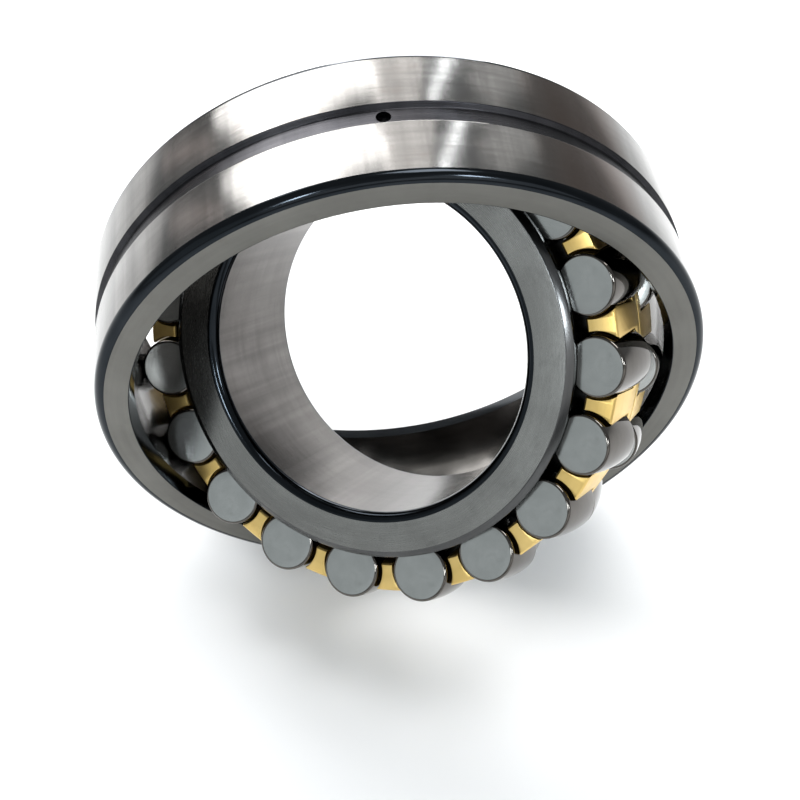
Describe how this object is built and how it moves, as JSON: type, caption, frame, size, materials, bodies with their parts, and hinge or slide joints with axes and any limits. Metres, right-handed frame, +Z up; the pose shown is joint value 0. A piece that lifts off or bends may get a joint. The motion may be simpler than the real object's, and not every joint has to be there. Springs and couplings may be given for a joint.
{
  "type": "spherical roller bearing",
  "caption": "Double-row self-aligning roller bearing: flanged inner ring, barrel rollers, brass cages and guide ring swivel in a spherical outer raceway.",
  "frame": {"origin": "centre of the bearing: on the outer ring's axis, midway between its side faces", "axes": "+Y along the outer ring's axis, from its front face to its back face; +Z up through a lubrication hole; the inner ring is stored swivelled 49.18 degrees about a crosswise axis through the origin"},
  "size_m": [0.2, 0.1622, 0.2],
  "materials": {
    "outer_ring_steel": "ground and hardened bearing steel, dark unground chamfers and groove",
    "inner_ring_steel": "ground and hardened bearing steel, dark unground chamfers",
    "guide_ring_steel": "turned steel",
    "roller_steel": "polished flanks, satin ground end faces",
    "cage_brass": "machined brass"
  },
  "bodies": {
    "outer_ring": {"outer_ring": "outer_ring_steel"},
    "guide_ring": {"guide_ring": "guide_ring_steel"},
    "inner_ring": {"inner_ring": "inner_ring_steel"},
    "front_cage": {"front_cage": "cage_brass"},
    "back_cage": {"back_cage": "cage_brass"},
    "roller_front_01": {"roller_front_01": "roller_steel"},
    "roller_front_02": {"roller_front_02": "roller_steel"},
    "roller_front_03": {"roller_front_03": "roller_steel"},
    "roller_front_04": {"roller_front_04": "roller_steel"},
    "roller_front_05": {"roller_front_05": "roller_steel"},
    "roller_front_06": {"roller_front_06": "roller_steel"},
    "roller_front_07": {"roller_front_07": "roller_steel"},
    "roller_front_08": {"roller_front_08": "roller_steel"},
    "roller_front_09": {"roller_front_09": "roller_steel"},
    "roller_front_10": {"roller_front_10": "roller_steel"},
    "roller_front_11": {"roller_front_11": "roller_steel"},
    "roller_front_12": {"roller_front_12": "roller_steel"},
    "roller_front_13": {"roller_front_13": "roller_steel"},
    "roller_front_14": {"roller_front_14": "roller_steel"},
    "roller_front_15": {"roller_front_15": "roller_steel"},
    "roller_front_16": {"roller_front_16": "roller_steel"},
    "roller_front_17": {"roller_front_17": "roller_steel"},
    "roller_front_18": {"roller_front_18": "roller_steel"},
    "roller_front_19": {"roller_front_19": "roller_steel"},
    "roller_back_01": {"roller_back_01": "roller_steel"},
    "roller_back_02": {"roller_back_02": "roller_steel"},
    "roller_back_03": {"roller_back_03": "roller_steel"},
    "roller_back_04": {"roller_back_04": "roller_steel"},
    "roller_back_05": {"roller_back_05": "roller_steel"},
    "roller_back_06": {"roller_back_06": "roller_steel"},
    "roller_back_07": {"roller_back_07": "roller_steel"},
    "roller_back_08": {"roller_back_08": "roller_steel"},
    "roller_back_09": {"roller_back_09": "roller_steel"},
    "roller_back_10": {"roller_back_10": "roller_steel"},
    "roller_back_11": {"roller_back_11": "roller_steel"},
    "roller_back_12": {"roller_back_12": "roller_steel"},
    "roller_back_13": {"roller_back_13": "roller_steel"},
    "roller_back_14": {"roller_back_14": "roller_steel"},
    "roller_back_15": {"roller_back_15": "roller_steel"},
    "roller_back_16": {"roller_back_16": "roller_steel"},
    "roller_back_17": {"roller_back_17": "roller_steel"},
    "roller_back_18": {"roller_back_18": "roller_steel"},
    "roller_back_19": {"roller_back_19": "roller_steel"}
  },
  "joints": [
    {"name": "swivel", "type": "hinge", "parent": "outer_ring", "child": "guide_ring", "pos_m": [0, 0, 0], "axis": [0.7809, 0, 0.6247], "range_deg": [-40.82, 139.18]},
    {"name": "inner_spin", "type": "hinge", "parent": "guide_ring", "child": "inner_ring", "pos_m": [0, 0, 0], "axis": [0.4728, 0.6537, -0.5909], "continuous": true},
    {"name": "front_cage_spin", "type": "hinge", "parent": "guide_ring", "child": "front_cage", "pos_m": [0, 0, 0], "axis": [0.4728, 0.6537, -0.5909], "continuous": true},
    {"name": "back_cage_spin", "type": "hinge", "parent": "guide_ring", "child": "back_cage", "pos_m": [0, 0, 0], "axis": [0.4728, 0.6537, -0.5909], "continuous": true},
    {"name": "roller_front_01_spin", "type": "hinge", "parent": "front_cage", "child": "roller_front_01", "pos_m": [0.06254, -0.04072, 0.02768], "axis": [0.6139, 0.5757, -0.5401], "continuous": true},
    {"name": "roller_front_02_spin", "type": "hinge", "parent": "front_cage", "child": "roller_front_02", "pos_m": [0.06075, -0.02274, 0.04614], "axis": [0.6101, 0.6143, -0.5004], "continuous": true},
    {"name": "roller_front_03_spin", "type": "hinge", "parent": "front_cage", "child": "roller_front_03", "pos_m": [0.05168, -0.00325, 0.06045], "axis": [0.5906, 0.6562, -0.4697], "continuous": true},
    {"name": "roller_front_04_spin", "type": "hinge", "parent": "front_cage", "child": "roller_front_04", "pos_m": [0.03633, 0.01565, 0.06907], "axis": [0.5576, 0.6968, -0.4512], "continuous": true},
    {"name": "roller_front_05_spin", "type": "hinge", "parent": "front_cage", "child": "roller_front_05", "pos_m": [0.01636, 0.0319, 0.07107], "axis": [0.5147, 0.7317, -0.4469], "continuous": true},
    {"name": "roller_front_06_spin", "type": "hinge", "parent": "front_cage", "child": "roller_front_06", "pos_m": [-0.00608, 0.04375, 0.06622], "axis": [0.4666, 0.7571, -0.4573], "continuous": true},
    {"name": "roller_front_07_spin", "type": "hinge", "parent": "front_cage", "child": "roller_front_07", "pos_m": [-0.02854, 0.0499, 0.05506], "axis": [0.4183, 0.7703, -0.4813], "continuous": true},
    {"name": "roller_front_08_spin", "type": "hinge", "parent": "front_cage", "child": "roller_front_08", "pos_m": [-0.0486, 0.0497, 0.03879], "axis": [0.3752, 0.7699, -0.5162], "continuous": true},
    {"name": "roller_front_09_spin", "type": "hinge", "parent": "front_cage", "child": "roller_front_09", "pos_m": [-0.06408, 0.04316, 0.01917], "axis": [0.342, 0.7558, -0.5583], "continuous": true},
    {"name": "roller_front_10_spin", "type": "hinge", "parent": "front_cage", "child": "roller_front_10", "pos_m": [-0.0733, 0.03099, -0.00166], "axis": [0.3222, 0.7297, -0.6031], "continuous": true},
    {"name": "roller_front_11_spin", "type": "hinge", "parent": "front_cage", "child": "roller_front_11", "pos_m": [-0.07527, 0.01452, -0.02146], "axis": [0.318, 0.6943, -0.6456], "continuous": true},
    {"name": "roller_front_12_spin", "type": "hinge", "parent": "front_cage", "child": "roller_front_12", "pos_m": [-0.06976, -0.00448, -0.03807], "axis": [0.3298, 0.6535, -0.6813], "continuous": true},
    {"name": "roller_front_13_spin", "type": "hinge", "parent": "front_cage", "child": "roller_front_13", "pos_m": [-0.05738, -0.02394, -0.0497], "axis": [0.3564, 0.6118, -0.7062], "continuous": true},
    {"name": "roller_front_14_spin", "type": "hinge", "parent": "front_cage", "child": "roller_front_14", "pos_m": [-0.03948, -0.04176, -0.05508], "axis": [0.3948, 0.5735, -0.7178], "continuous": true},
    {"name": "roller_front_15_spin", "type": "hinge", "parent": "front_cage", "child": "roller_front_15", "pos_m": [-0.01798, -0.056, -0.05364], "axis": [0.441, 0.5429, -0.7147], "continuous": true},
    {"name": "roller_front_16_spin", "type": "hinge", "parent": "front_cage", "child": "roller_front_16", "pos_m": [0.00478, -0.06513, -0.04552], "axis": [0.4899, 0.5233, -0.6973], "continuous": true},
    {"name": "roller_front_17_spin", "type": "hinge", "parent": "front_cage", "child": "roller_front_17", "pos_m": [0.02634, -0.06814, -0.03161], "axis": [0.5362, 0.5168, -0.6674], "continuous": true},
    {"name": "roller_front_18_spin", "type": "hinge", "parent": "front_cage", "child": "roller_front_18", "pos_m": [0.04435, -0.06472, -0.01342], "axis": [0.5748, 0.5242, -0.6283], "continuous": true},
    {"name": "roller_front_19_spin", "type": "hinge", "parent": "front_cage", "child": "roller_front_19", "pos_m": [0.05687, -0.05524, 0.00709], "axis": [0.6017, 0.5445, -0.5843], "continuous": true},
    {"name": "roller_back_01_spin", "type": "hinge", "parent": "back_cage", "child": "roller_back_01", "pos_m": [0.0748, -0.02585, 0.00855], "axis": [0.319, 0.7187, -0.6179], "continuous": true},
    {"name": "roller_back_02_spin", "type": "hinge", "parent": "back_cage", "child": "roller_back_02", "pos_m": [0.07423, -0.00831, 0.0275], "axis": [0.3202, 0.681, -0.6586], "continuous": true},
    {"name": "roller_back_03_spin", "type": "hinge", "parent": "back_cage", "child": "roller_back_03", "pos_m": [0.06631, 0.01108, 0.04261], "axis": [0.3372, 0.6394, -0.691], "continuous": true},
    {"name": "roller_back_04_spin", "type": "hinge", "parent": "back_cage", "child": "roller_back_04", "pos_m": [0.05189, 0.03022, 0.05225], "axis": [0.3682, 0.5983, -0.7117], "continuous": true},
    {"name": "roller_back_05_spin", "type": "hinge", "parent": "back_cage", "child": "roller_back_05", "pos_m": [0.03254, 0.04704, 0.05536], "axis": [0.4097, 0.5622, -0.7184], "continuous": true},
    {"name": "roller_back_06_spin", "type": "hinge", "parent": "back_cage", "child": "roller_back_06", "pos_m": [0.01034, 0.0597, 0.05162], "axis": [0.4574, 0.535, -0.7104], "continuous": true},
    {"name": "roller_back_07_spin", "type": "hinge", "parent": "back_cage", "child": "roller_back_07", "pos_m": [-0.01229, 0.06685, 0.04142], "axis": [0.506, 0.5196, -0.6885], "continuous": true},
    {"name": "roller_back_08_spin", "type": "hinge", "parent": "back_cage", "child": "roller_back_08", "pos_m": [-0.0329, 0.06771, 0.02588], "axis": [0.5503, 0.5178, -0.6551], "continuous": true},
    {"name": "roller_back_09_spin", "type": "hinge", "parent": "back_cage", "child": "roller_back_09", "pos_m": [-0.04926, 0.06217, 0.00667], "axis": [0.5854, 0.5297, -0.6138], "continuous": true},
    {"name": "roller_back_10_spin", "type": "hinge", "parent": "back_cage", "child": "roller_back_10", "pos_m": [-0.05959, 0.05085, -0.01412], "axis": [0.6076, 0.554, -0.5692], "continuous": true},
    {"name": "roller_back_11_spin", "type": "hinge", "parent": "back_cage", "child": "roller_back_11", "pos_m": [-0.06278, 0.03497, -0.03424], "axis": [0.6144, 0.5881, -0.526], "continuous": true},
    {"name": "roller_back_12_spin", "type": "hinge", "parent": "back_cage", "child": "roller_back_12", "pos_m": [-0.05848, 0.01625, -0.0515], "axis": [0.6052, 0.6283, -0.4889], "continuous": true},
    {"name": "roller_back_13_spin", "type": "hinge", "parent": "back_cage", "child": "roller_back_13", "pos_m": [-0.04715, -0.00328, -0.06405], "axis": [0.5809, 0.6702, -0.462], "continuous": true},
    {"name": "roller_back_14_spin", "type": "hinge", "parent": "back_cage", "child": "roller_back_14", "pos_m": [-0.03003, -0.02151, -0.07051], "axis": [0.5441, 0.7094, -0.4481], "continuous": true},
    {"name": "roller_back_15_spin", "type": "hinge", "parent": "back_cage", "child": "roller_back_15", "pos_m": [-0.00897, -0.03645, -0.07019], "axis": [0.4989, 0.7414, -0.4488], "continuous": true},
    {"name": "roller_back_16_spin", "type": "hinge", "parent": "back_cage", "child": "roller_back_16", "pos_m": [0.01376, -0.0465, -0.06313], "axis": [0.4501, 0.763, -0.4639], "continuous": true},
    {"name": "roller_back_17_spin", "type": "hinge", "parent": "back_cage", "child": "roller_back_17", "pos_m": [0.03568, -0.05055, -0.05008], "axis": [0.403, 0.7717, -0.492], "continuous": true},
    {"name": "roller_back_18_spin", "type": "hinge", "parent": "back_cage", "child": "roller_back_18", "pos_m": [0.05442, -0.04818, -0.03246], "axis": [0.3628, 0.7666, -0.5298], "continuous": true},
    {"name": "roller_back_19_spin", "type": "hinge", "parent": "back_cage", "child": "roller_back_19", "pos_m": [0.06795, -0.03964, -0.01219], "axis": [0.3337, 0.7483, -0.5733], "continuous": true}
  ],
  "couplings": [
    {"joint": "front_cage_spin", "follows": "inner_spin", "ratio": 0.43562},
    {"joint": "back_cage_spin", "follows": "inner_spin", "ratio": 0.43562},
    {"joint": "roller_front_01_spin", "follows": "inner_spin", "ratio": -3.7639},
    {"joint": "roller_front_02_spin", "follows": "inner_spin", "ratio": -3.7639},
    {"joint": "roller_front_03_spin", "follows": "inner_spin", "ratio": -3.7639},
    {"joint": "roller_front_04_spin", "follows": "inner_spin", "ratio": -3.7639},
    {"joint": "roller_front_05_spin", "follows": "inner_spin", "ratio": -3.7639},
    {"joint": "roller_front_06_spin", "follows": "inner_spin", "ratio": -3.7639},
    {"joint": "roller_front_07_spin", "follows": "inner_spin", "ratio": -3.7639},
    {"joint": "roller_front_08_spin", "follows": "inner_spin", "ratio": -3.7639},
    {"joint": "roller_front_09_spin", "follows": "inner_spin", "ratio": -3.7639},
    {"joint": "roller_front_10_spin", "follows": "inner_spin", "ratio": -3.7639},
    {"joint": "roller_front_11_spin", "follows": "inner_spin", "ratio": -3.7639},
    {"joint": "roller_front_12_spin", "follows": "inner_spin", "ratio": -3.7639},
    {"joint": "roller_front_13_spin", "follows": "inner_spin", "ratio": -3.7639},
    {"joint": "roller_front_14_spin", "follows": "inner_spin", "ratio": -3.7639},
    {"joint": "roller_front_15_spin", "follows": "inner_spin", "ratio": -3.7639},
    {"joint": "roller_front_16_spin", "follows": "inner_spin", "ratio": -3.7639},
    {"joint": "roller_front_17_spin", "follows": "inner_spin", "ratio": -3.7639},
    {"joint": "roller_front_18_spin", "follows": "inner_spin", "ratio": -3.7639},
    {"joint": "roller_front_19_spin", "follows": "inner_spin", "ratio": -3.7639},
    {"joint": "roller_back_01_spin", "follows": "inner_spin", "ratio": -3.7639},
    {"joint": "roller_back_02_spin", "follows": "inner_spin", "ratio": -3.7639},
    {"joint": "roller_back_03_spin", "follows": "inner_spin", "ratio": -3.7639},
    {"joint": "roller_back_04_spin", "follows": "inner_spin", "ratio": -3.7639},
    {"joint": "roller_back_05_spin", "follows": "inner_spin", "ratio": -3.7639},
    {"joint": "roller_back_06_spin", "follows": "inner_spin", "ratio": -3.7639},
    {"joint": "roller_back_07_spin", "follows": "inner_spin", "ratio": -3.7639},
    {"joint": "roller_back_08_spin", "follows": "inner_spin", "ratio": -3.7639},
    {"joint": "roller_back_09_spin", "follows": "inner_spin", "ratio": -3.7639},
    {"joint": "roller_back_10_spin", "follows": "inner_spin", "ratio": -3.7639},
    {"joint": "roller_back_11_spin", "follows": "inner_spin", "ratio": -3.7639},
    {"joint": "roller_back_12_spin", "follows": "inner_spin", "ratio": -3.7639},
    {"joint": "roller_back_13_spin", "follows": "inner_spin", "ratio": -3.7639},
    {"joint": "roller_back_14_spin", "follows": "inner_spin", "ratio": -3.7639},
    {"joint": "roller_back_15_spin", "follows": "inner_spin", "ratio": -3.7639},
    {"joint": "roller_back_16_spin", "follows": "inner_spin", "ratio": -3.7639},
    {"joint": "roller_back_17_spin", "follows": "inner_spin", "ratio": -3.7639},
    {"joint": "roller_back_18_spin", "follows": "inner_spin", "ratio": -3.7639},
    {"joint": "roller_back_19_spin", "follows": "inner_spin", "ratio": -3.7639}
  ]
}
